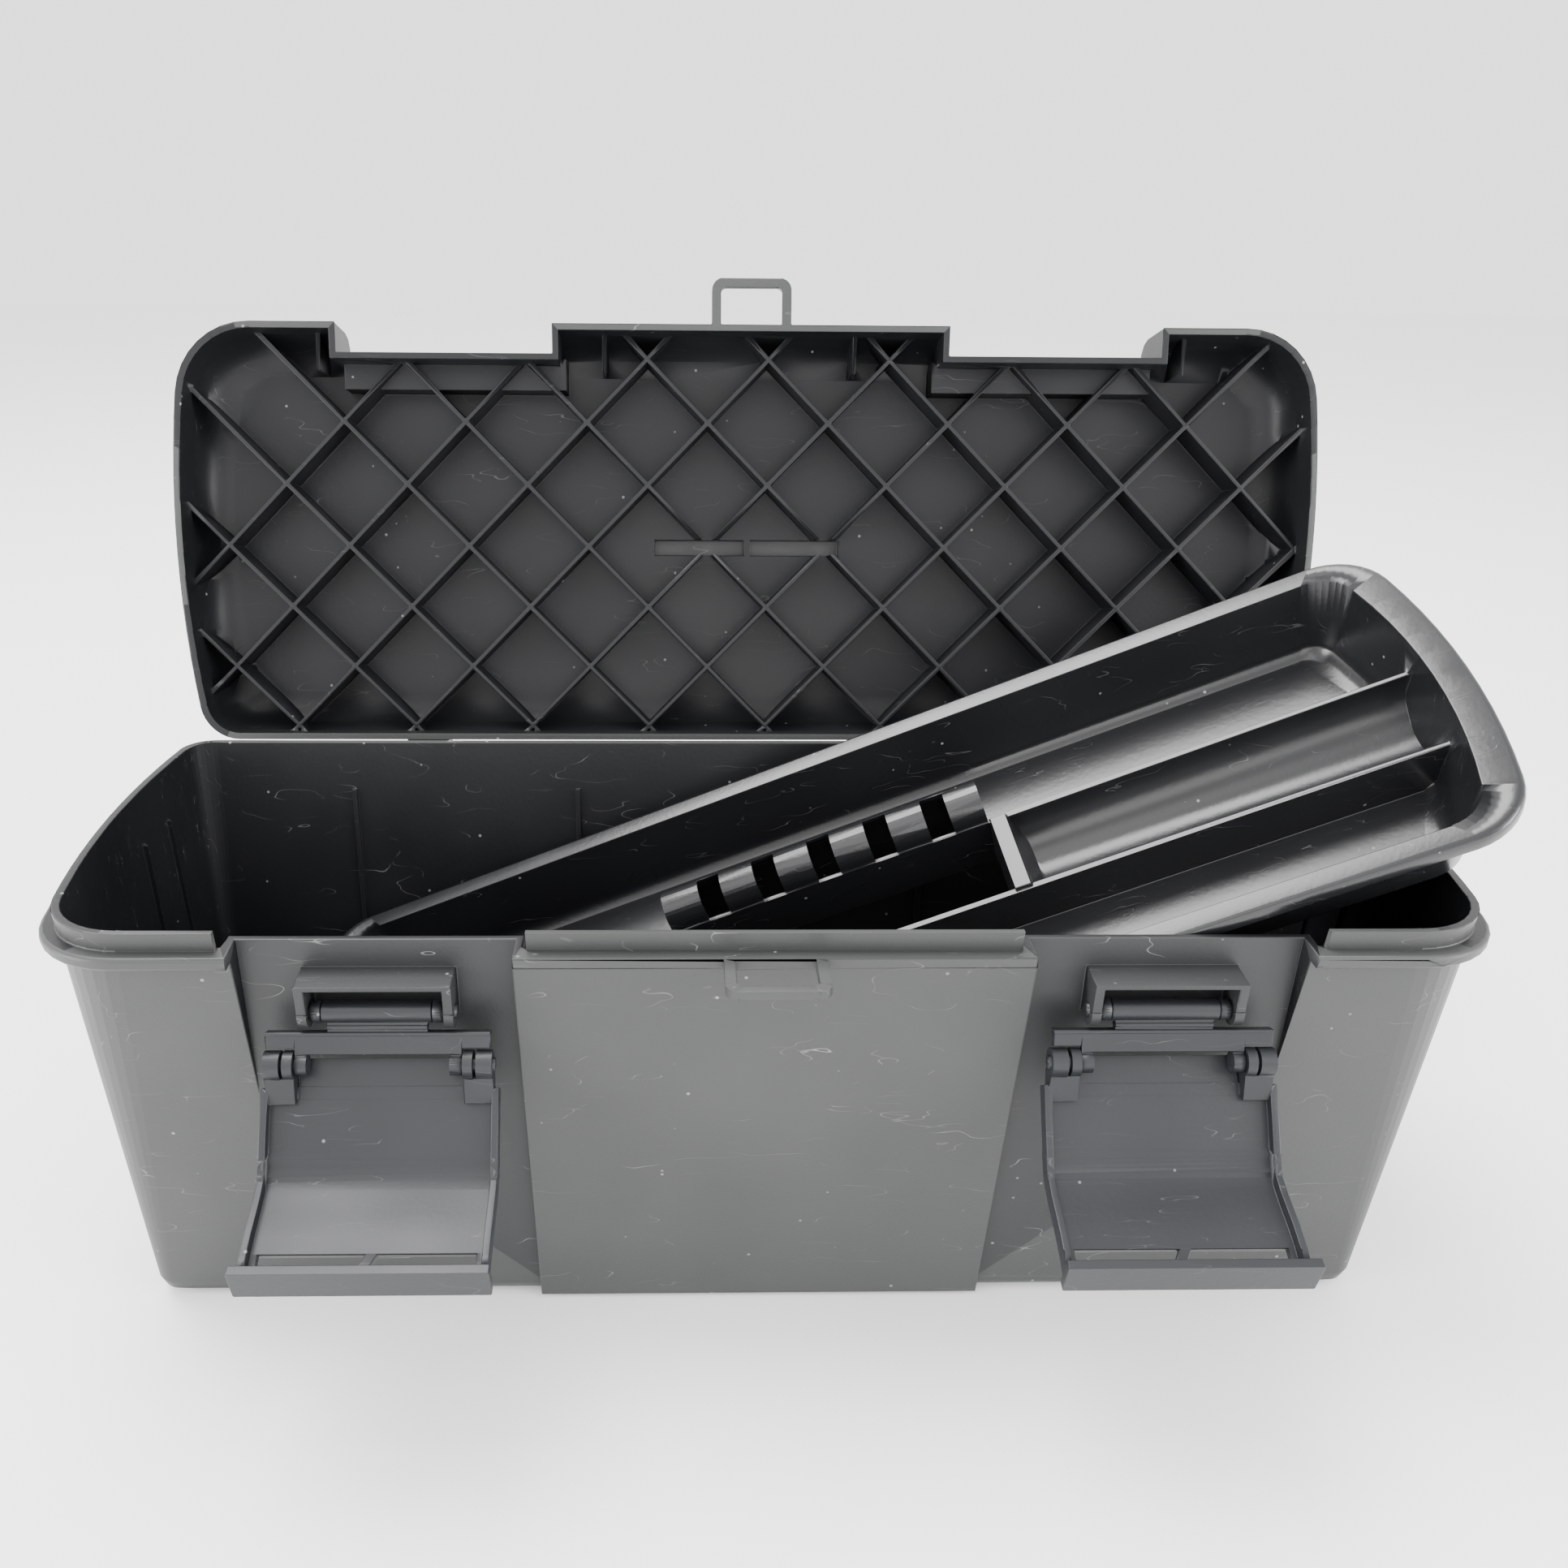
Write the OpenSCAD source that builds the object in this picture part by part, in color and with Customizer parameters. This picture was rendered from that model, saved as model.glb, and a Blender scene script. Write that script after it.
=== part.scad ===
// Moulded toolbox with a hinged lid, a loose tray, two hook latches and a bail handle.
// X runs along the box, -Y is the front with the latches, +Z is up.
// The origin is the centre of the base, on the surface the box stands on.
// The lid is drawn open and the tray is drawn leaning in the box.

/* [Box] */
// Length of the box over the rim flange
box_len = 410; // [380:1:440]
// Depth of the box over the rim flange, front to back
box_dep = 145; // [140:1:160]
// Height of the rim flange's top face
rim_h = 138; // [125:1:160]
// Wall of the box and of the lid
wall = 2.2; // [2:0.1:2.6]
// Overhang of the rim flange beyond the wall
flange_w = 4.2; // [3.6:0.1:5]
// Height of the rim flange
flange_t = 4; // [3:0.1:6]
// Height of the lip that stands above the flange
lip_h = 5.8; // [4:0.1:7]
// Inward lean of each end wall, from rim to base
end_draft = 3.3; // [2:0.1:8]
// Inward lean of the front and back walls, from rim to base
side_draft = 17; // [10:0.5:20]
// Radius between the walls and the base
base_r = 8; // [4:0.5:10]
// Outward bulge of each end at mid depth
end_bulge = 6.6; // [4:0.1:9]
// Plan radius of the front corners, over the flange
front_r = 27; // [22:1:32]
// Plan radius of the back corners, over the flange
back_r = 14; // [12:1:20]

/* [Latch bays] */
// Distance from the middle of the box to the inner side of each bay
bay_in = 69.9; // [64:0.1:72]
// Distance from the middle of the box to the outer side of each bay
bay_out = 145.4; // [143:0.1:150]
// Depth of the bay behind the flange's front edge, in the box
bay_d = 10.8; // [10:0.1:12]
// Depth of the bay behind the flange's front edge, in the lid
lid_bay_d = 10; // [9:0.1:11]
// Middle of each latch
latch_x = 107.7; // [104:0.1:110]

/* [Lid] */
// Height of the lid above the rim
lid_h = 25; // [22:0.5:28]
// Gap between the lid's edge and the flange when shut
lid_gap = 0.3; // [0.2:0.05:0.6]
// Angle at which the open lid leans back
lid_open = 106.5; // [95:0.5:108]
// Pitch of the lattice ribs along the box
rib_pitch = 43.36; // [40:0.01:46]
// Thickness of a lattice rib
rib_t = 1.5; // [1.2:0.1:2]
// Distance from the lid's edge to the ribs
rib_set = 8; // [6:0.5:10]

/* [Lid hinge] */
// Hinge axis behind the flange's back edge
hinge_back = 10.2; // [9:0.1:12]
// Hinge axis below the rim
hinge_drop = 11.3; // [10:0.1:13]
// Distance from the middle to each hinge
hinge_x = 118; // [80:1:140]
// Radius of a hinge pin
hinge_pin_r = 2; // [1.5:0.1:2.2]
// Outer radius of a hinge knuckle
knuckle_r = 4.6; // [4:0.1:5]

/* [Latch] */
// Length of the link between its two pivots
link_len = 14.9; // [13:0.1:16]
// Lean of the hanging link, bottom outwards
link_lean = 19.6; // [15:0.1:22]
// Radius of the link's two rods
rod_r = 2; // [1.6:0.1:2.2]
// Width of the latch's flap
flap_w = 62; // [58:1:64]
// Thickness of the flap
flap_t = 2.2; // [1.8:0.1:2.6]

/* [Tray] */
// Length of the box over the flange, less that of the tray over its rim
tray_end_room = 31; // [28:1:40]
// Depth of the box over the flange, less that of the tray over its rim
tray_side_room = 31; // [30:1:40]
// Height of the tray
tray_h = 28.5; // [24:0.5:29]
// Width of the rolled rim along the sides
tray_rim = 5; // [4:0.5:6]
// Width of the rolled rim at the ends
tray_rim_end = 8; // [6:0.5:10]
// Wall of the tray
tray_wall = 1.8; // [1.5:0.1:2.2]
// Tilt of the leaning tray, right end up
tray_tilt = 22.72; // [22:0.01:23.2]
// Roll of the leaning tray, back edge up
tray_roll = 25.41; // [24.5:0.01:25.5]
// Turn of the leaning tray about the vertical
tray_turn = -1.81; // [-2:0.01:-1]
// Middle of the leaning tray's rim along the box
tray_x = 25.13; // [23:0.01:27]
// Middle of the leaning tray's rim across the box
tray_y = -5.34; // [-5.8:0.01:-4.8]
// Drop of the middle of the leaning tray's rim below the box rim
tray_drop = 11.71; // [11.2:0.01:13]

/* [Handle] */
// Distance between the handle's two arms, middle to middle
handle_w = 104; // [90:1:120]
// Distance from the handle's pivots to the middle of its grip
handle_reach = 38; // [34:1:40]
// Radius of the grip
grip_r = 5.5; // [5:0.1:7]
// Angle of the hanging handle above the lid's top
handle_hang = 16.5; // [16:0.5:18]

/* [Fits] */
// Clearance round a pin that turns
run_fit = 0.06; // [0.03:0.01:0.1]
// Clearance between neighbouring pieces
gap = 0.4; // [0.3:0.05:0.5]

/* [Hidden] */
eps = 0.01;
corner_n = 8;
end_n = 12;
tray_end_n = 10;
tray_corner = 19.5;
slice_t = 0.4;
rib = 1.6;
half_dep = box_dep/2;
dark = [0.20, 0.205, 0.21];
darker = [0.13, 0.135, 0.14];

// lid and hinge
lid_z = rim_h + lid_gap;
lid_top = lid_z + lid_h;
hinge_y = half_dep + hinge_back;
hinge_z = rim_h - hinge_drop;
pin_len = 40;
lug_w = 12;

// latch, seen from the end: pivot a is in the bracket, pivot b carries the flap
pivot_a = [-half_dep + 4.5, rim_h - 19];
pivot_b = [pivot_a[0] - link_len*sin(link_lean), pivot_a[1] - link_len*cos(link_lean)];
bracket_w = 42;
cheek_t = 2.6;
eye_w = 21.4;
eye_bar = 3.2;
rib_out = 1.6;
rib_top = rim_h - 10.5;
clip_w = 8;
clip_r = 4.1;
clip_gap = 0.9;
step_w = 27;
hub_w = 29.4;
plate_t = 2.4;
catch_z = lid_top - 3.7;
groove_z = lid_top - 10.4;
groove_w = 6.4;

// handle, on the shut lid
ear_x = handle_w/2;
ear_t = 5;
handle_y = 2.6;
handle_z = lid_top + grip_r + 2.2;
slot_len = 33.4;
slot_w = 5.4;
slot_roof = 5;

// tray, in its own frame: its rim's top face is at zero
tray_len = box_len - tray_end_room;
tray_dep = box_dep - tray_side_room;
div_back = 10.7;
div_front = -18;
div_top = 9;
hole_x0 = -56;
hole_x1 = 47;
trough_r = (div_back - div_front)/2;
trough_y = (div_back + div_front)/2;
bar_y = 18;
bar_z = -8;
bar_r = 7.5;

function arc(c, r, a0, a1, n) = [for (i = [0:n]) c + r*[cos(a0 + (a1 - a0)*i/n), sin(a0 + (a1 - a0)*i/n)]];

// right half of a plan with an end that bulges in n steps: rf and rb are the front and back corner radii
function half_plan(w, d, rf, rb, bulge, n) =
    let (h = d/2, re = (h*h + bulge*bulge)/(2*bulge), xc = w/2 - re,
        cf = [xc + sqrt(pow(re - rf, 2) - pow(h - rf, 2)), rf - h],
        cb = [xc + sqrt(pow(re - rb, 2) - pow(h - rb, 2)), h - rb],
        af = atan2(cf[1], cf[0] - xc), ab = atan2(cb[1], cb[0] - xc),
        bow = arc([xc, 0], re, af, ab, n))
    concat(arc(cf, rf, -90, af, corner_n), [for (i = [1:n - 1]) bow[i]], arc(cb, rb, ab, 90, corner_n));

function plan(w, d, rf, rb, bulge, n = end_n) =
    let (half = half_plan(w, d, rf, rb, bulge, n))
    concat(half, [for (i = [len(half) - 1:-1:0]) [-half[i][0], half[i][1]]]);

// plan of the box drawn in by ix at the ends and iy at the front and back
module box_plan(ix, iy) {
    polygon(plan(box_len - 2*ix, box_dep - 2*iy, max(front_r - iy, 6), max(back_r - iy, 4), end_bulge));
}

module box_slab(ix, iy, z) translate([0, 0, z]) linear_extrude(eps) box_plan(ix, iy);

function lean(draft, z) = draft*(rim_h - z)/rim_h;

// drafted body of the box drawn in by a wall of t, from z0 up, with a rounded foot
module box_body(t, z0, z1, r) {
    hull() {
        box_slab(flange_w + t + lean(end_draft, z1), flange_w + t + lean(side_draft, z1), z1);
        for (a = [0, 30, 60, 90])
            box_slab(flange_w + t + lean(end_draft, z0) + r*(1 - sin(a)),
                flange_w + t + lean(side_draft, z0) + r*(1 - sin(a)), z0 + r*(1 - cos(a)));
    }
}

module both_sides() {
    children();
    mirror([1, 0, 0]) children();
}

// extrude a profile drawn as [y, z] along x, from x0 to x1
module along_x(x0, x1) translate([x0, 0, 0]) rotate([90, 0, 90]) linear_extrude(x1 - x0) children();

module rod(p, r, x0, x1) translate([x0, p[0], p[1]]) rotate([0, 90, 0])
    cylinder(r = r, h = x1 - x0, $fn = 48);

// ---- tub ----

module bay_boxes(front, inset, z0, z1) {
    both_sides() translate([bay_in - inset, -half_dep - 5, z0])
        cube([bay_out - bay_in + 2*inset, 5 + front, z1 - z0]);
}

module flange() {
    difference() {
        hull() {
            box_slab(0.8, 0.8, rim_h - flange_t);
            box_slab(0, 0, rim_h - flange_t + 0.9);
            box_slab(0, 0, rim_h - 0.9);
            box_slab(0.8, 0.8, rim_h - eps);
        }
        translate([0, 0, rim_h - flange_t - 1]) linear_extrude(flange_t + 2)
            box_plan(flange_w + wall/2, flange_w + wall/2);
    }
}

module front_panel() {
    along_x(-bay_in, bay_in) polygon([[-half_dep, rim_h], [-half_dep, rim_h - 3],
        [-half_dep + flange_w + side_draft - 0.6, 1.5], [-half_dep + flange_w + side_draft + 1, 1.5],
        [-half_dep + flange_w + 1, rim_h]]);
}

// eye for a padlock, lying flat in front of the box at height z
module eye(reach, z, t) {
    hw = eye_w/2 + eye_bar;
    translate([0, -half_dep, z]) linear_extrude(t) difference() {
        polygon(concat([[hw, 2], [-hw, 2]], arc([-hw + 4, -reach + 4], 4, 180, 270, 6),
            arc([hw - 4, -reach + 4], 4, 270, 360, 6)));
        polygon(concat([[eye_w/2, 0.4], [-eye_w/2, 0.4]], arc([-eye_w/2 + 1.6, -reach + eye_bar + 1.6],
            1.6, 180, 270, 4),
            arc([eye_w/2 - 1.6, -reach + eye_bar + 1.6], 1.6, 270, 360, 4)));
    }
}

module bracket() {
    face = -half_dep + bay_d;
    front = -half_dep + 0.3;
    difference() {
        union() {
            for (s = [-1, 1]) translate([s*(bracket_w - cheek_t)/2, 0, 0]) {
                along_x(-cheek_t/2, cheek_t/2) polygon([[face + 1, rim_h - 9], [face + 1, pivot_a[1] - 4],
                    [pivot_a[0], pivot_a[1] - 3.9], [front, pivot_a[1] + 1.4], [front, rim_h - 9]]);
                rod(pivot_a, 4.4, -cheek_t/2, cheek_t/2);
            }
            along_x(-bracket_w/2, bracket_w/2) polygon([[face + 1, rim_h - 8.5], [face + 1, rim_h - 10],
                [front, rim_h - 10.4], [front, rim_h - 9]]);
        }
        rod(pivot_a, rod_r + run_fit, -bracket_w/2 - 1, bracket_w/2 + 1);
    }
}

module hinge_lug(w) {
    rod([hinge_y, hinge_z], knuckle_r, -w/2, w/2);
    along_x(-w/2, w/2) polygon([[half_dep - 9, hinge_z - 11], [half_dep - 9, hinge_z + 4],
        [hinge_y, hinge_z + knuckle_r - 0.4], [hinge_y + 1, hinge_z - knuckle_r + 0.2]]);
}

module hinge_tub_lugs() {
    for (s = [-1, 1]) translate([s*(pin_len - lug_w)/2, 0, 0]) hinge_lug(lug_w);
}

// profile of a rib that stands out from a wall by rib_out: the wall's inner face is at d, leaning by draft
function rib_pts(d, draft) = [[d - rib_out - lean(draft, rib_top), rib_top],
    [d + 1 - lean(draft, rib_top), rib_top],
    [d + 1 - lean(draft, base_r), base_r], [d - rib_out - lean(draft, base_r), base_r]];

// ribs inside that hold the tray clear of the back and end walls
module inner_ribs() {
    inset = flange_w + wall;
    for (x = [-139, -61, 61, 139]) along_x(x - 0.8, x + 0.8) polygon(rib_pts(half_dep - inset, side_draft));
    both_sides() for (y = [19, 38]) translate([0, y + 0.8, 0]) rotate([90, 0, 0]) linear_extrude(1.6)
        polygon(rib_pts(box_len/2 - inset - end_bulge*pow(y/(half_dep - inset), 2), end_draft));
}

module tub() color(dark) {
    difference() {
        union() {
            difference() {
                box_body(0, 0, rim_h + lip_h, base_r);
                bay_boxes(bay_d, 0, 30, rim_h + lip_h + 1);
            }
            difference() {
                flange();
                bay_boxes(bay_d, 0, 100, rim_h + 1);
            }
            front_panel();
            eye(16, rim_h - 3.2, 2.6);
            both_sides() translate([latch_x, 0, 0]) bracket();
            both_sides() translate([hinge_x, 0, 0]) hinge_tub_lugs();
        }
        difference() {
            box_body(wall, wall, rim_h + lip_h + 1, base_r - wall);
            bay_boxes(bay_d + wall, wall, 0, rim_h);
            inner_ribs();
        }
        bay_boxes(bay_d + wall + 1, wall + 1.2, rim_h, rim_h + lip_h + 1);
        both_sides() rod([hinge_y, hinge_z], hinge_pin_r + 0.02, hinge_x - pin_len/2 - 1,
            hinge_x + pin_len/2 + 1);
        base_hollow();
    }
}

// shallow hollow that leaves a standing rim round the base
module base_hollow() {
    translate([0, 0, -eps]) linear_extrude(0.6) polygon(plan(box_len - 2*(flange_w + end_draft + base_r
        + 8),
        box_dep - 2*(flange_w + side_draft + base_r + 8), 8, 6, end_bulge));
}

// ---- lid, drawn shut and then opened about its hinge ----

module opened() translate([0, hinge_y, hinge_z]) rotate([-lid_open, 0, 0])
    translate([0, -hinge_y, -hinge_z])
    children();

module lid_slab(i, z) box_slab(i, i, z - eps);

module lid_shell() {
    hull() {
        lid_slab(0, lid_z + eps);
        lid_slab(0.6, lid_top - 7);
        lid_slab(1.8, lid_top - 3);
        lid_slab(5, lid_top);
    }
}

module lid_room(grow) {
    hull() {
        lid_slab(wall - grow, lid_z - 1);
        lid_slab(wall + 0.6 - grow, lid_top - 14);
        lid_slab(wall + 3 - grow, lid_top - 7.5);
        lid_slab(wall + 7 - grow, lid_top - 4);
        lid_slab(wall + 13 - grow, lid_top - wall);
    }
}

module lattice() {
    z0 = lid_z + rib_set;
    y0 = half_dep - 4.6;
    x0 = 6.6;
    n = 6;
    for (k = [-n:n], s = [-1, 1]) translate([x0 + k*rib_pitch, y0, z0]) rotate([0, 0, s*45])
        translate([-box_len/2, -rib_t/2, 0]) cube([box_len, rib_t, lid_h]);
}

module lid_bay_wall() {
    both_sides() difference() {
        translate([bay_in - wall, -half_dep - 1, lid_z])
            cube([bay_out - bay_in + 2*wall, lid_bay_d + wall + 1, lid_h - 1]);
        translate([bay_in, -half_dep - 2, lid_z - 1]) cube([bay_out - bay_in, lid_bay_d + 2, lid_h + 2]);
    }
}

module lid_fins() {
    for (x = [-153, -52, 37, 155]) translate([x - 0.7, -half_dep + 1, lid_z + lip_h + 1])
        cube([1.4, 14, lid_h - lip_h - 2]);
}

// solid step behind each bay, under the groove that the hook drops into
module lid_steps() {
    both_sides() translate([bay_in - 4, -half_dep + lid_bay_d, groove_z - wall])
        cube([bay_out - bay_in + 4, groove_w + 2*wall, lid_top - groove_z]);
}

module lid_grooves() {
    both_sides() {
        translate([bay_in, -half_dep + lid_bay_d - 1, catch_z]) cube([bay_out - bay_in, wall + 2, lid_h]);
        translate([bay_in, -half_dep + lid_bay_d + wall, groove_z])
            cube([bay_out - bay_in, groove_w, lid_h]);
    }
}

module lid_arm(w) {
    rod([hinge_y, hinge_z], knuckle_r, -w/2, w/2);
    along_x(-w/2, w/2) polygon([[half_dep - 1, lid_z + 1], [half_dep - 1, lid_z + 11],
        [half_dep + 0.5, lid_z + 11],
        [hinge_y + knuckle_r, hinge_z + 4], [hinge_y + knuckle_r, hinge_z], [hinge_y, hinge_z],
        [half_dep + 0.8, lid_z - 4.6], [half_dep + 0.8, lid_z + 1]]);
}

module handle_ears() {
    both_sides() difference() {
        union() {
            along_x(ear_x + 4.4, ear_x + 4.4 + ear_t) polygon([[handle_y - 9, lid_top - 1],
                [handle_y + 9, lid_top - 1],
                [handle_y + 4.6, handle_z + 1.5], [handle_y - 4.6, handle_z + 1.5]]);
            rod([handle_y, handle_z], 4.8, ear_x + 4.4, ear_x + 4.4 + ear_t);
        }
        rod([handle_y, handle_z], 2.5 + run_fit, ear_x + 4, ear_x + 5 + ear_t);
    }
}

module lid_shut() {
    difference() {
        union() {
            difference() {
                lid_shell();
                lid_room(0);
            }
            intersection() {
                union() {
                    lattice();
                    lid_fins();
                    lid_steps();
                    lid_bay_wall();
                }
                lid_room(0.4);
            }
            eye(15.3, lid_z, 2.6);
            both_sides() translate([hinge_x, 0, 0]) lid_arm(pin_len - 2*lug_w - 2*gap);
            handle_ears();
            translate([-slot_len - 1.2 - wall, handle_y - slot_w/2 - wall, lid_top - 1])
                cube([2*(slot_len + 1.2 + wall), slot_w + 2*wall, slot_roof + 1]);
        }
        both_sides() translate([bay_in, -half_dep - 2, lid_z - 1])
            cube([bay_out - bay_in, lid_bay_d + 2, lid_h + 3]);
        lid_grooves();
        both_sides() rod([hinge_y, hinge_z], hinge_pin_r + run_fit, hinge_x - pin_len/2,
            hinge_x + pin_len/2);
        // slot crossed by a small bridge, closed by the roof above the top
        for (x = [-slot_len - 1.2, 1.2]) translate([x, handle_y - slot_w/2, lid_z])
            cube([slot_len, slot_w, lid_h + slot_roof - wall]);
    }
}

module lid() color(dark) opened() lid_shut();

module hinge_pin(s) color([0.55, 0.55, 0.56])
    rod([hinge_y, hinge_z], hinge_pin_r, s*hinge_x - pin_len/2, s*hinge_x + pin_len/2);

// ---- handle, drawn hanging from the open lid ----

module handle() color(darker) opened() translate([0, handle_y, handle_z]) rotate([handle_hang, 0, 0]) {
    rod([handle_reach, 0], grip_r, -ear_x + 4, ear_x - 4);
    both_sides() {
        rod([0, 0], 2.5, ear_x + 2, ear_x + 4 + ear_t);
        rod([0, 0], 5, ear_x - 4, ear_x + 4);
        translate([ear_x - 4, 0, -3.4]) cube([8, handle_reach - 4, 6.8]);
        translate([ear_x - 4, handle_reach - 4, 0]) cylinder(r = 8, h = 6.8, center = true, $fn = 48);
        rod([handle_reach, 0], 3.4, ear_x - 8, ear_x - 3);
    }
}

// ---- latch, drawn at x = 0 ----

// profile of a bar of thickness t from p to q, given as [y, z]
function bar_pts(p, q, t) = let (u = (q - p)/norm(q - p), n = [-u[1], u[0]]*t/2)
    [p - n, q - n, q + n, p + n];

// normal of the step from p to q, on its right-hand side when q is below p
function step_n(p, q) = let (u = (q - p)/norm(q - p)) [-u[1], u[0]];

// corner i of the chain pts, moved sideways by t
function aside(pts, i, t) = let (m = len(pts) - 1,
        a = step_n(pts[max(i - 1, 0)], pts[max(i, 1)]), b = step_n(pts[min(i, m - 1)], pts[min(i + 1, m)]))
    pts[i] + t*(a + b)/(1 + a*b);

// band of the chain pts between the offsets t0 and t1
function band(pts, t0, t1) = concat([for (i = [0:len(pts) - 1]) aside(pts, i, t0)],
    [for (i = [len(pts) - 1:-1:0]) aside(pts, i, t1)]);

// chain with each inner corner cut at a quarter of its steps
function eased(pts) = let (m = len(pts) - 1) concat([pts[0]],
    [for (i = [0:m - 1], k = [0, 1]) if (!(i == 0 && k == 0) && !(i == m - 1 && k == 1))
        k == 0 ? 0.75*pts[i] + 0.25*pts[i + 1] : 0.25*pts[i] + 0.75*pts[i + 1]], [pts[m]]);

module latch_link() color(darker) {
    u = (pivot_b - pivot_a)/link_len;
    in_w = flap_w - 2*clip_w - 2*gap;
    rod(pivot_a, rod_r, -bracket_w/2 - 0.6, bracket_w/2 + 0.6);
    rod(pivot_a, 3, -hub_w/2, hub_w/2);
    for (s = [-1, 1]) {
        rod(pivot_a, 3, s*(hub_w/2 + 1.7) - 1.2, s*(hub_w/2 + 1.7) + 1.2);
        translate([s*flap_w/2, 0, 0]) rod(pivot_b, rod_r, s > 0 ? -clip_w - 3 : -0.6,
            s > 0 ? 0.6 : clip_w + 3);
        translate([s*(in_w/2 - 1.6), 0, 0]) {
            rod(pivot_b, 3, -1.6, 1.6);
            along_x(-1.6, 1.6) polygon(bar_pts(pivot_a + 9*u, pivot_b, plate_t));
        }
    }
    along_x(-step_w/2, step_w/2) polygon(bar_pts(pivot_a + u, pivot_a + 8*u, plate_t));
    along_x(-step_w/2, step_w/2) polygon(bar_pts(pivot_a + 3.6*u, pivot_a + 4.6*u, plate_t + 1));
    along_x(-flap_w/2 + 0.5, flap_w/2 - 0.5) polygon(bar_pts(pivot_a + 5.4*u, pivot_a + 10*u, plate_t));
    along_x(-flap_w/2 + 0.5, flap_w/2 - 0.5) polygon(bar_pts(pivot_a + 5.4*u, pivot_a + 6.4*u,
        plate_t + 1));
    along_x(-in_w/2, in_w/2) polygon(bar_pts(pivot_a + 7*u, pivot_b - 3.3*u, plate_t));
}

// inner face of the flap from its top to the root of its lip, as [y, z] from the flap's pivot
flap_face = [[4.3, -0.7], [-0.5, -7.3], [-11, -21.5], [-13, -25.5], [-17.5, -29.3], [-36, -34],
    [-45, -38.7]];

module latch_flap() color(darker) {
    tail = flap_face[6];
    slope = step_n(flap_face[5], tail);
    lip_dir = [cos(104), sin(104)];
    face = eased(eased(flap_face));
    rail = eased([for (i = [1:6]) flap_face[i]]);
    difference() {
        union() {
            translate([0, pivot_b[0], pivot_b[1]]) {
                along_x(-flap_w/2 + clip_w + gap, flap_w/2 - clip_w - gap)
                    polygon(band([flap_face[0], flap_face[1]], 0, flap_t));
                along_x(-flap_w/2, flap_w/2) polygon(band([for (i = [0:len(face) - 1])
                    if (face[i][1] < -5) face[i]], 0, flap_t));
                along_x(-flap_w/2 - 2.4, flap_w/2 + 2.4)
                    polygon(bar_pts(tail - 1.6*lip_dir, tail + 8.4*lip_dir, flap_t + 0.6));
                for (s = [-1, 1]) translate([s*(flap_w + 1)/2, 0, 0]) along_x(-1, 1)
                    polygon(band(rail, -3, flap_t));
            }
            for (s = [-1, 1], w = [[0, 4.4], [4.4 + clip_gap, clip_w]]) translate([s*flap_w/2, 0, 0])
                rod(pivot_b, clip_r, s > 0 ? -w[1] : w[0], s > 0 ? -w[0] : w[1]);
            for (s = [-1, 1]) translate([s*(flap_w - clip_w)/2, pivot_b[0], pivot_b[1]])
                along_x(-clip_w/2, clip_w/2)
                polygon([[1.2, -2.6], [-2.9, -2.6], [-4.6, -10], [0.4, -10], [3.4, -4.2]]);
        }
        rod(pivot_b, rod_r + run_fit, -flap_w/2 - 1, flap_w/2 + 1);
        // two slots at the root of the lip, on either side of a slanting bridge
        translate([0, pivot_b[0] + tail[0], pivot_b[1] + tail[1]]) rotate([atan2(slope[1], slope[0])
            - 90, 0, 0])
            translate([0, 0, -4]) linear_extrude(8) {
                polygon([[-28.6, -2], [-4.2, -2], [-0.6, -9], [-28.6, -9]]);
                polygon([[28.6, -2], [-1, -2], [2.6, -9], [28.6, -9]]);
            }
    }
}

// ---- tray, drawn level about its rim and then leaned ----

module leaned() translate([tray_x, tray_y, rim_h - tray_drop])
    rotate([tray_roll, -tray_tilt, tray_turn]) children();

module tray_plan(ix, iy) polygon(plan(tray_len - 2*ix, tray_dep - 2*iy, max(tray_corner - iy, 5),
    max(tray_corner - iy, 5), 8.4, tray_end_n));

// flat slice of the tray's plan, its top face at z
module tray_slab(ix, iy, z) translate([0, 0, z - slice_t]) linear_extrude(slice_t) tray_plan(ix, iy);

// the tray's outer wall drawn in by t, from z0 up to z1
module tray_body(t, z0, z1) {
    hull() {
        tray_slab(tray_rim_end + t, tray_rim + t, z1);
        tray_slab(tray_rim_end + t + 5, tray_rim + t + 3, z0 + 4);
        tray_slab(tray_rim_end + t + 6, tray_rim + t + 4, z0 + 2);
        tray_slab(tray_rim_end + t + 8.5, tray_rim + t + 6.5, z0 + slice_t);
    }
}

// rolled rim, hollow underneath
module tray_rim_ring() {
    difference() {
        hull() {
            tray_slab(1.8, 1.8, 0);
            tray_slab(0.5, 0.5, -0.8);
            tray_slab(0, 0, -2.2);
            tray_slab(0, 0, -5 + slice_t);
        }
        translate([0, 0, -9]) linear_extrude(10) tray_plan(tray_rim_end + 1, tray_rim + 1);
        translate([0, 0, -6]) linear_extrude(4.2) tray_plan(1.8, 1.8);
    }
}

// the two dividers and the round-bottomed trough hung between them, along x
module trough(x0, x1) {
    c = [trough_y, -div_top - 1];
    along_x(x0, x1) {
        for (y = [div_front, div_back]) translate([y - rib/2, -tray_h + 1])
            square([rib, tray_h - 1 - div_top]);
        polygon(concat(arc(c, trough_r + rib/2, 180, 360, 24), arc(c, trough_r - rib/2, 360, 180, 24)));
    }
}

// folded wall that closes the trough beside the opening, for the right-hand side at x
module trough_end(x) translate([x, 0, 0]) rotate([90, 0, 0]) translate([0, 0, -div_back])
    linear_extrude(div_back - div_front)
    polygon(band([[1.2, -tray_h + 0.6], [3.2, -div_top - 0.4], [5.4, -div_top - 0.4],
        [11, -tray_h + 3.4]], 0, rib));

function grip_pts(r, low) = concat(arc([bar_y, bar_z], r, 0, 180, 20), [[bar_y - r, low],
    [bar_y + r, low]]);

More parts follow.
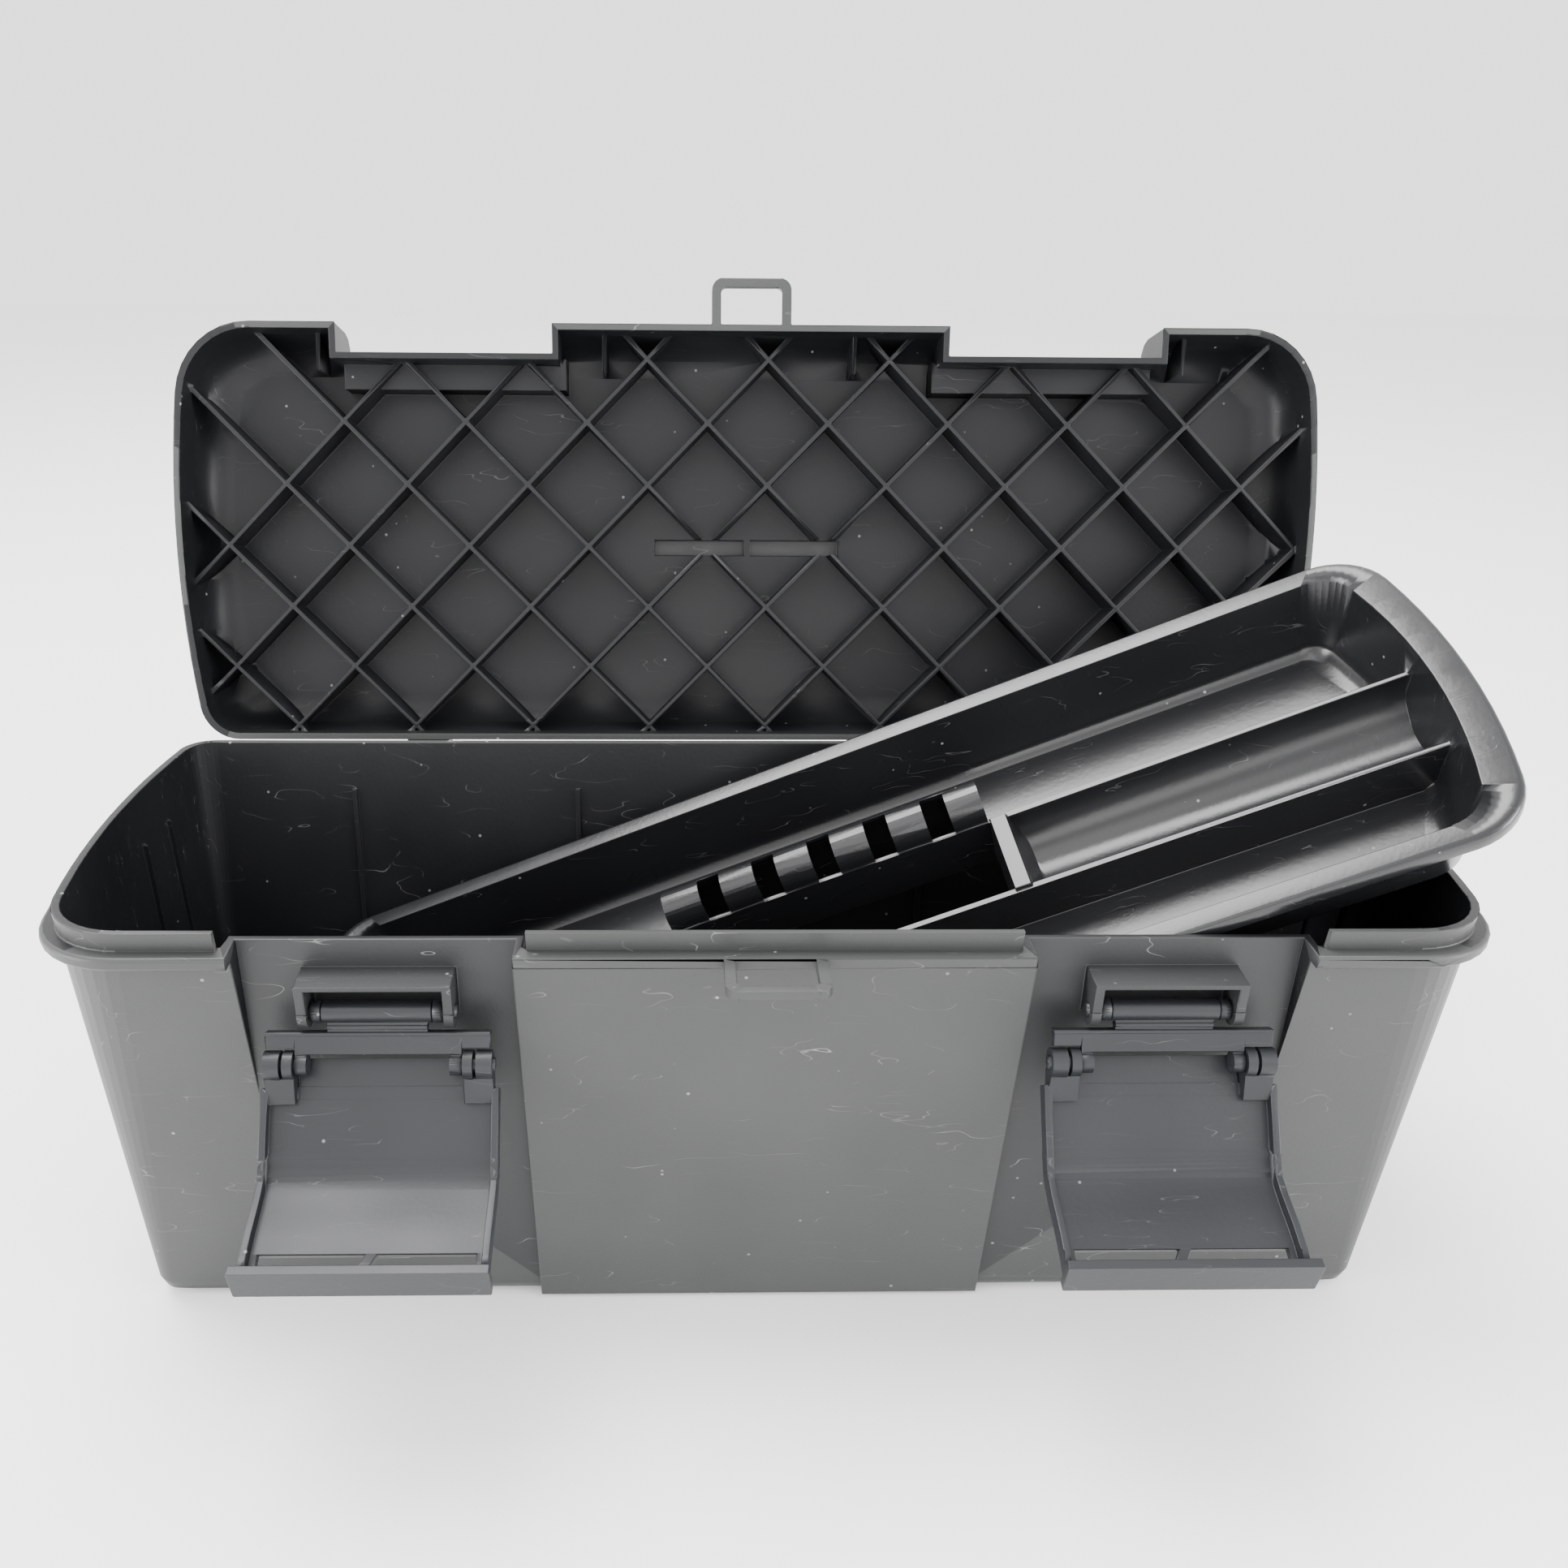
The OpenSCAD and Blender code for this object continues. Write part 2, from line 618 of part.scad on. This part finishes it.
module grip_bar() {
    difference() {
        along_x(hole_x0 - 3, hole_x1 + 1) polygon(grip_pts(bar_r, -tray_h + 1));
        along_x(hole_x0 - 1, hole_x1 - 1) polygon(grip_pts(bar_r - rib, -tray_h - 1));
        for (i = [-2:2]) translate([(hole_x0 + hole_x1)/2 + i*19 - 3.8, bar_y - bar_r - 2, bar_z - 3])
            cube([7.6, bar_r*2 - 2, bar_r + 5]);
    }
}

module tray() color(darker) leaned() {
    reach = tray_len/2 - 24;
    difference() {
        union() {
            difference() {
                tray_body(0, -tray_h, 0);
                tray_body(tray_wall, -tray_h + tray_wall, 1);
                // open underneath the trough
                for (x = [[-reach, hole_x0 - 9], [hole_x1 + 9, reach]])
                    translate([x[0], div_front + rib/2, -tray_h - 1])
                        cube([x[1] - x[0], div_back - div_front - rib, 4]);
            }
            tray_rim_ring();
            intersection() {
                union() {
                    trough(-tray_len/2, hole_x0 - 4);
                    trough(hole_x1 + 4, tray_len/2);
                    for (y = [div_front, div_back]) translate([hole_x0 - 5, y - rib/2, -tray_h + 1])
                        cube([hole_x1 - hole_x0 + 10, rib, tray_h - 1 - div_top]);
                    trough_end(hole_x1);
                    translate([hole_x0 + hole_x1, 0, 0]) mirror([1, 0, 0]) trough_end(hole_x1);
                }
                tray_body(tray_wall - 0.6, -tray_h, 2);
            }
            grip_bar();
        }
        // opening through the tray in front of the grip
        translate([hole_x0, div_front + rib/2, -tray_h - 1]) cube([hole_x1 - hole_x0,
            div_back - div_front - rib, tray_h + 2]);
        // the grip is open underneath
        translate([hole_x0 - 1, bar_y - bar_r + rib, -tray_h - 1])
            cube([hole_x1 - hole_x0, (bar_r - rib)*2, 6]);
    }
}

tub();
lid();
tray();
handle();
hinge_pin(-1);  // hinge_pin_left
hinge_pin(1);  // hinge_pin_right
translate([-latch_x, 0, 0]) latch_link();  // latch_link_left
translate([latch_x, 0, 0]) latch_link();  // latch_link_right
translate([-latch_x, 0, 0]) latch_flap();  // latch_flap_left
translate([latch_x, 0, 0]) latch_flap();  // latch_flap_right
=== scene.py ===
import math
import bmesh
import bpy
from mathutils import Matrix, Vector


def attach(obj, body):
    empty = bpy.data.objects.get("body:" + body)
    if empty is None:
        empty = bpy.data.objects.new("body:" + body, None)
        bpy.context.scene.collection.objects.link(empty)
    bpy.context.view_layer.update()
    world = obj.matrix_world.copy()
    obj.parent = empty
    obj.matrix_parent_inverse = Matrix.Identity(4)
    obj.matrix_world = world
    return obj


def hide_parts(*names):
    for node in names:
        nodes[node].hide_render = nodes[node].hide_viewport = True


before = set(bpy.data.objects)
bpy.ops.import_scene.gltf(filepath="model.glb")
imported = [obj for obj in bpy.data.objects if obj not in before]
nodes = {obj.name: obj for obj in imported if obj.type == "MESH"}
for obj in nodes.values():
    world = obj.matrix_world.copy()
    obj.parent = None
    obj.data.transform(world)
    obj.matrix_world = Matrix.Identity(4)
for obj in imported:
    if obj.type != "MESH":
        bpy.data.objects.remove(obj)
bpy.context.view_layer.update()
print("frame loaded:", len(nodes), "nodes")

# camera and studio

camera = {"place": (-0.02595, -0.40137, 0.32934), "yaw": 1.483, "pitch": 28.037, "roll": 0.622,
          "lens": 33.01, "sensor": 36, "shiftX": 0.0465, "shiftY": 0.0771, "near": 0.02, "far": 50}

studio = {"floor": 6.0, "floorColour": (0.93, 0.93, 0.93), "floorRough": 0.9, "world": 2.2,
          "lamps": [  # name, place, target, size, power
              ("keyLamp", (-0.55, -1.0, 1.5), (0, 0, 0.1), 1.2, 7),
              ("fillLamp", (1.1, -0.8, 0.9), (0, 0, 0.1), 1.0, 8),
              ("lowLamp", (0.0, -1.5, 0.35), (0, 0, 0.08), 0.9, 6),
              ("backLamp", (0.3, 1.1, 1.3), (0, 0.1, 0.2), 1.2, 6),
              ("topLamp", (-0.5, 0.35, 1.7), (0.08, 0, 0.13), 1.1, 52),
              ("leftLamp", (-1.1, -0.45, 0.3), (-0.18, 0, 0.08), 0.6, 15),
              ("rightLamp", (1.1, -0.45, 0.3), (0.18, 0, 0.08), 0.6, 13)]}


def makeCamera(c):
    y, p, r = (math.radians(c[k]) for k in ("yaw", "pitch", "roll"))
    ahead = Vector((math.sin(y)*math.cos(p), math.cos(y)*math.cos(p), -math.sin(p)))
    side = Vector((math.cos(y), -math.sin(y), 0))
    up = side.cross(ahead)
    side, up = math.cos(r)*side + math.sin(r)*up, math.cos(r)*up - math.sin(r)*side
    data = bpy.data.cameras.new("camera")
    data.lens, data.sensor_width = c["lens"], c["sensor"]
    data.shift_x, data.shift_y = c["shiftX"], c["shiftY"]
    data.clip_start, data.clip_end = c["near"], c["far"]
    ob = bpy.data.objects.new("camera", data)
    m = Matrix((side, up, -ahead)).transposed().to_4x4()
    m.translation = c["place"]
    ob.matrix_world = m
    bpy.context.scene.collection.objects.link(ob)
    bpy.context.scene.camera = ob


def makeLamp(name, place, target, size, power):
    data = bpy.data.lights.new(name, "AREA")
    data.shape, data.size, data.energy = "DISK", size, power
    ob = bpy.data.objects.new(name, data)
    ob.location = place
    ob.rotation_euler = (Vector(target) - Vector(place)).to_track_quat("-Z", "Y").to_euler()
    bpy.context.scene.collection.objects.link(ob)


def makeStudio(s):
    world = bpy.data.worlds.new("studio")
    world.use_nodes = True
    world.node_tree.nodes["Background"].inputs["Color"].default_value = (1, 1, 1, 1)
    world.node_tree.nodes["Background"].inputs["Strength"].default_value = s["world"]
    bpy.context.scene.world = world
    for lamp in s["lamps"]:
        makeLamp(*lamp)
    h = s["floor"]/2
    mesh = bpy.data.meshes.new("floor")
    mesh.from_pydata([(-h, -h, 0), (h, -h, 0), (h, h, 0), (-h, h, 0)], [], [(0, 1, 2, 3)])
    floor = bpy.data.objects.new("floor", mesh)
    bpy.context.scene.collection.objects.link(floor)
    mat = bpy.data.materials.new("floorPaper")
    mat.use_nodes = True
    shader = mat.node_tree.nodes["Principled BSDF"]
    shader.inputs["Base Color"].default_value = (*s["floorColour"], 1)
    shader.inputs["Roughness"].default_value = s["floorRough"]
    mesh.materials.append(mat)


makeCamera(camera)
makeStudio(studio)
print("camera and studio made")

# shared shader effects

slowWaves = {"Scale": 22.0, "Detail": 2.0, "Roughness": 0.5}
fineWaves = {"Detail": 3.0, "Roughness": 0.6}
scratchSets = (((0.3, 0.5, 0.2), 1.7), ((1.1, 0.2, 1.3), 7.3))  # turn of the noise, shift of the noise
scratchStretch = (1.0, 9.0, 3.0)
scratchHalfWidth = 0.004
scratchPatch = (0.58, 0.7)
speckEdge = (0.16, 0.08)
speckKept = (0.955, 0.965)

def newGroup(name, inputs, outputs):
    g = bpy.data.node_groups.new(name, "ShaderNodeTree")
    for n, kind, value in inputs:
        s = g.interface.new_socket(n, in_out="INPUT", socket_type="NodeSocket" + kind)
        s.default_value = value
    for n, kind in outputs:
        g.interface.new_socket(n, in_out="OUTPUT", socket_type="NodeSocket" + kind)
    return g, g.nodes.new("NodeGroupInput"), g.nodes.new("NodeGroupOutput")


def addNode(tree, kind, settings=None, **values):
    n = tree.nodes.new("ShaderNode" + kind)
    for k, v in (settings or {}).items():
        setattr(n, k, v)
    for k, v in values.items():
        n.inputs[k.replace("_", " ")].default_value = v
    return n


def mathNode(tree, op, a, b=None, clamp=False):
    n = addNode(tree, "Math", {"operation": op, "use_clamp": clamp})
    for i, v in enumerate((a, b)):
        if v is None:
            continue
        if isinstance(v, (int, float)):
            n.inputs[i].default_value = v
        else:
            tree.links.new(v, n.inputs[i])
    return n.outputs[0]


def ramp(tree, value, low, high):
    n = addNode(tree, "MapRange", From_Min=low, From_Max=high)
    n.clamp = True
    tree.links.new(value, n.inputs["Value"])
    return n.outputs["Result"]


def makeGrain():
    # fine moulding texture: two noises, one of the spark-eroded mould and one of slow waves in the wall
    g, gi, go = newGroup("mouldGrain", [("Scale", "Float", 900.0), ("Waves", "Float", 0.3)],
                         [("Height", "Float"), ("Mottle", "Float")])
    at = addNode(g, "TexCoord").outputs["Object"]
    fine = addNode(g, "TexNoise", {"noise_dimensions": "3D"}, **fineWaves)
    slow = addNode(g, "TexNoise", {"noise_dimensions": "3D"}, **slowWaves)
    g.links.new(at, fine.inputs["Vector"])
    g.links.new(at, slow.inputs["Vector"])
    g.links.new(gi.outputs["Scale"], fine.inputs["Scale"])
    wave = mathNode(g, "MULTIPLY", slow.outputs["Fac"], gi.outputs["Waves"])
    g.links.new(mathNode(g, "ADD", fine.outputs["Fac"], wave), go.inputs["Height"])
    g.links.new(slow.outputs["Fac"], go.inputs["Mottle"])
    return g


def makeScratches():
    # hair scratches: thin contour lines of a stretched noise, kept only where a second noise is high
    g, gi, go = newGroup("hairScratches", [("Amount", "Float", 0.5), ("Scale", "Float", 40.0)],
                         [("Mask", "Float")])
    at = addNode(g, "TexCoord").outputs["Object"]
    total = None
    for turn, shift in scratchSets:
        m = addNode(g, "Mapping", Rotation=turn, Location=(shift,)*3, Scale=scratchStretch)
        g.links.new(at, m.inputs["Vector"])
        n = addNode(g, "TexNoise", Detail=1.5, Roughness=0.45)
        g.links.new(m.outputs[0], n.inputs["Vector"])
        g.links.new(gi.outputs["Scale"], n.inputs["Scale"])
        away = mathNode(g, "ABSOLUTE", mathNode(g, "SUBTRACT", n.outputs["Fac"], 0.5))
        line = ramp(g, away, scratchHalfWidth, 0.0)
        patch = addNode(g, "TexNoise", Scale=31.0, Detail=2.0)
        g.links.new(m.outputs[0], patch.inputs["Vector"])
        line = mathNode(g, "MULTIPLY", line, ramp(g, patch.outputs["Fac"], *scratchPatch))
        total = line if total is None else mathNode(g, "ADD", total, line, True)
    g.links.new(mathNode(g, "MULTIPLY", total, gi.outputs["Amount"]), go.inputs["Mask"])
    return g


def makeDust():
    # pale specks: the middles of scattered cells, each cell kept by chance
    g, gi, go = newGroup("dustSpecks", [("Amount", "Float", 0.5), ("Scale", "Float", 260.0)],
                         [("Mask", "Float")])
    at = addNode(g, "TexCoord").outputs["Object"]
    cells = addNode(g, "TexVoronoi", {"feature": "F1"}, Randomness=1.0)
    g.links.new(at, cells.inputs["Vector"])
    g.links.new(gi.outputs["Scale"], cells.inputs["Scale"])
    dot = ramp(g, cells.outputs["Distance"], *speckEdge)
    pick = addNode(g, "SeparateColor")
    g.links.new(cells.outputs["Color"], pick.inputs[0])
    keep = ramp(g, pick.outputs[0], *speckKept)
    kept = mathNode(g, "MULTIPLY", dot, keep)
    g.links.new(mathNode(g, "MULTIPLY", kept, gi.outputs["Amount"]), go.inputs["Mask"])
    return g


effects = {"grain": makeGrain(), "scratch": makeScratches(), "dust": makeDust()}


def useGroup(tree, name, **values):
    n = tree.nodes.new("ShaderNodeGroup")
    n.node_tree = effects[name]
    for k, v in values.items():
        n.inputs[k].default_value = v
    return n


markColour = (0.35, 0.35, 0.35, 1)
mottleRange = (0.35, 0.65)
mottleSpread = (0.3, 0.7)
plastics = {
    "bodyOutside": {"colour": (0.034, 0.0355, 0.035), "light": (0.039, 0.0405, 0.040),
                    "rough": (0.43, 0.49), "ior": 1.42, "grain": 1100.0,
                    "waves": 0.2, "bump": 0.00006, "scratch": 0.5, "dust": 0.55},
    # the latch bays: darker colour, partly painted shade under the front panel's overhang, partly the
    # bays' own texture
    "bodyBayPaintedShade": {"colour": (0.017, 0.018, 0.0185), "light": (0.020, 0.021, 0.0215),
                "rough": (0.42, 0.50), "ior": 1.42, "grain": 1100.0,
                "waves": 0.2, "bump": 0.00005, "scratch": 0.5, "dust": 0.45},
    # the tub's inside: the same plastic as the outside, its colour darkened as painted shade of the
    # enclosed walls
    "bodyInsidePaintedShade": {"colour": (0.0055, 0.006, 0.0068), "light": (0.007, 0.0075, 0.0085),
                   "rough": (0.38, 0.46), "ior": 1.38, "grain": 700.0,
                   "waves": 0.8, "bump": 0.00005, "scratch": 0.35, "dust": 0.5},
    # the lid's inside: the same plastic as the outside, its colour darkened as painted shade, since it
    # reflects the dark surroundings; the lower roughness is its smoother moulding
    "lidInsidePaintedShade": {"colour": (0.0078, 0.0083, 0.0094), "light": (0.0092, 0.0098, 0.0110),
                  "rough": (0.36, 0.44), "ior": 1.34, "grain": 700.0,
                  "waves": 0.8, "bump": 0.00005, "scratch": 0.2, "dust": 0.5},
    "trayPlastic": {"colour": (0.0075, 0.008, 0.0088), "light": (0.0090, 0.0096, 0.0105),
                    "rough": (0.23, 0.29), "ior": 1.52, "grain": 600.0,
                    "waves": 1.0, "bump": 0.00004, "scratch": 0.3, "dust": 0.6},
    "latchPlastic": {"colour": (0.0100, 0.0110, 0.0130), "light": (0.0120, 0.0132, 0.0155),
                     "rough": (0.38, 0.46), "ior": 1.42, "grain": 700.0,
                     "waves": 0.8, "bump": 0.00005, "scratch": 0.2, "dust": 0.4},
}


def makePlastic(name, p):
    mat = bpy.data.materials.new(name)
    mat.use_nodes = True
    t = mat.node_tree
    shader = t.nodes["Principled BSDF"]
    shader.inputs["IOR"].default_value = p["ior"]
    grain = useGroup(t, "grain", Scale=p["grain"], Waves=p["waves"])
    scratch = useGroup(t, "scratch", Amount=p["scratch"])
    dust = useGroup(t, "dust", Amount=p["dust"])
    mix = addNode(t, "Mix", {"data_type": "RGBA"})
    mix.inputs["A"].default_value = (*p["colour"], 1)
    mix.inputs["B"].default_value = (*p["light"], 1)
    t.links.new(ramp(t, grain.outputs["Mottle"], *mottleRange), mix.inputs["Factor"])
    marks = mathNode(t, "ADD", scratch.outputs["Mask"], dust.outputs["Mask"], True)
    pale = addNode(t, "Mix", {"data_type": "RGBA"})
    pale.inputs["B"].default_value = markColour
    t.links.new(mix.outputs["Result"], pale.inputs["A"])
    t.links.new(marks, pale.inputs["Factor"])
    t.links.new(pale.outputs["Result"], shader.inputs["Base Color"])
    rough = addNode(t, "MapRange", From_Min=mottleSpread[0], From_Max=mottleSpread[1],
                    To_Min=p["rough"][0], To_Max=p["rough"][1])
    t.links.new(grain.outputs["Mottle"], rough.inputs["Value"])
    t.links.new(rough.outputs["Result"], shader.inputs["Roughness"])
    bump = addNode(t, "Bump", Strength=1.0, Distance=p["bump"])
    t.links.new(grain.outputs["Height"], bump.inputs["Height"])
    t.links.new(bump.outputs["Normal"], shader.inputs["Normal"])
    return mat


steel = {"colour": (0.42, 0.42, 0.43, 1), "light": (0.62, 0.62, 0.62, 1), "grain": 1500.0, "waves": 0.3,
         "roughSpan": 1.6}


def makeSteel(p):
    mat = bpy.data.materials.new("pinSteel")
    mat.use_nodes = True
    t = mat.node_tree
    shader = t.nodes["Principled BSDF"]
    shader.inputs["Metallic"].default_value = 1.0
    grain = useGroup(t, "grain", Scale=p["grain"], Waves=p["waves"])
    mix = addNode(t, "Mix", {"data_type": "RGBA"})
    mix.inputs["A"].default_value = p["colour"]
    mix.inputs["B"].default_value = p["light"]
    t.links.new(grain.outputs["Mottle"], mix.inputs["Factor"])
    t.links.new(mix.outputs["Result"], shader.inputs["Base Color"])
    t.links.new(ramp(t, grain.outputs["Height"], 0.0, p["roughSpan"]), shader.inputs["Roughness"])
    return mat


materials = {n: makePlastic(n, p) for n, p in plastics.items()}
materials["pinSteel"] = makeSteel(steel)
print("materials made:", len(materials))

# the moulded pieces: the frame's own shapes with their edges rounded


def roundedCopy(name, node, body, mats, edge, pick=None):
    # merges the loose triangles, rounds the long sharp edges, weights the normals by face area
    mesh = nodes[node].data.copy()
    mesh.name = name
    mesh.materials.clear()
    bm = bmesh.new()
    bm.from_mesh(mesh)
    bmesh.ops.remove_doubles(bm, verts=bm.verts, dist=edge["merge"])
    sharp = [e for e in bm.edges if len(e.link_faces) == 2 and e.calc_length() > edge["shortest"]
             and e.calc_face_angle(0) > math.radians(edge["angle"])]
    if edge["width"]:
        bmesh.ops.bevel(bm, geom=sharp, offset=edge["width"], offset_type="OFFSET", segments=edge["steps"],
                        profile=0.5, affect="EDGES", clamp_overlap=False, loop_slide=True)
    bmesh.ops.triangulate(bm, faces=[f for f in bm.faces if len(f.verts) > 4])
    bm.normal_update()
    for f in bm.faces:
        f.smooth = True
        if pick:
            f.material_index = pick(f)
    bm.to_mesh(mesh)
    bm.free()
    mesh.set_sharp_from_angle(angle=math.radians(edge["smooth"]))
    for m in mats:
        mesh.materials.append(materials[m])
    ob = bpy.data.objects.new(name, mesh)
    bpy.context.scene.collection.objects.link(ob)
    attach(ob, body)
    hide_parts(node)
    weigh = ob.modifiers.new("weigh", "WEIGHTED_NORMAL")
    weigh.mode, weigh.weight, weigh.keep_sharp = "FACE_AREA", 50, True
    print(name, "made:", len(mesh.polygons), "faces")
    return ob


# in metres and degrees: only edges longer than "shortest" and sharper than "angle" are rounded
edges = {"merge": 2e-6, "shortest": 0.0025, "angle": 32, "width": 0.0004, "steps": 2, "smooth": 32}
latchEdges = {**edges, "width": 0.0003}
# the tub's inside region, whose faces take the painted-shade colour
tubInside = {"lean": 0.123, "rim": 0.138, "halfDepth": 0.0668, "halfLength": 0.2, "floor": 0.0015,
             "deep": (0.18, 0.045)}
# the latch bays' region, whose faces take the partly painted-shade colour
tubBay = {"front": -0.04, "inner": 0.0692, "outer": 0.1461, "floor": 0.004}
# the lid's inside region, whose faces take the painted-shade colour
lidInsidePaintedShade = {"hinge": (0, 0.0827, 0.1267), "open": 106.5, "halfDepth": 0.0705, "halfLength": 0.2028,
             "low": 0.1382, "high": 0.1612, "ceiling": -0.5, "deep": (0.19, 0.058)}


def looksIn(at, normal, deep):
    # faces well inside count whichever way they look, such as those of ribs
    return at.x*normal.x + at.y*normal.y < 1e-6 or (abs(at.x) < deep[0] and abs(at.y) < deep[1])


def tubSide(face):
    # 0 outside, 1 inside, which takes the painted shade, 2 in the latch bays, which take partly painted
    # shade: the inside faces lie within the leaning walls
    at, n = face.calc_center_median(), face.normal
    i, b = tubInside, tubBay
    inside = (abs(at.y) < i["halfDepth"] - i["lean"]*(i["rim"] - at.z) and abs(at.x) < i["halfLength"]
              and at.z > i["floor"] and looksIn(at, n, i["deep"]))
    bay = at.y < b["front"] and all(b["inner"] < abs(v.co.x) < b["outer"] and v.co.z > b["floor"]
                                    for v in face.verts)
    return 1 if inside else 2 if bay else 0


def lidSide(face):
    # the face is turned back to the shut lid, where the inside is a plain box; the inside faces take the
    # painted-shade colour
    i = lidInsidePaintedShade
    hinge = Vector(i["hinge"])
    turn = Matrix.Rotation(math.radians(i["open"]), 3, "X")
    back, n = turn @ (face.calc_center_median() - hinge) + hinge, turn @ face.normal
    inside = (abs(back.y) < i["halfDepth"] and abs(back.x) < i["halfLength"]
              and i["low"] < back.z < i["high"] and (n.z < i["ceiling"] or looksIn(back, n, i["deep"])))
    return int(inside)


roundedCopy("tubMoulding", "tub", "tub", ["bodyOutside", "bodyInsidePaintedShade", "bodyBayPaintedShade"], edges, tubSide)
roundedCopy("lidMoulding", "lid", "lid", ["bodyOutside", "lidInsidePaintedShade"], edges, lidSide)
roundedCopy("trayMoulding", "tray", "tray", ["trayPlastic"], edges)
roundedCopy("handleMoulding", "handle", "handle", ["latchPlastic"], edges)
for side in ("left", "right"):
    roundedCopy(f"linkMoulding.{side}", f"latch_link_{side}", f"link_{side}", ["latchPlastic"],
                latchEdges)
    roundedCopy(f"flapMoulding.{side}", f"latch_flap_{side}", f"flap_{side}", ["latchPlastic"],
                latchEdges)
    pin = nodes[f"hinge_pin_{side}"]
    pin.data.materials.clear()
    pin.data.materials.append(materials["pinSteel"])
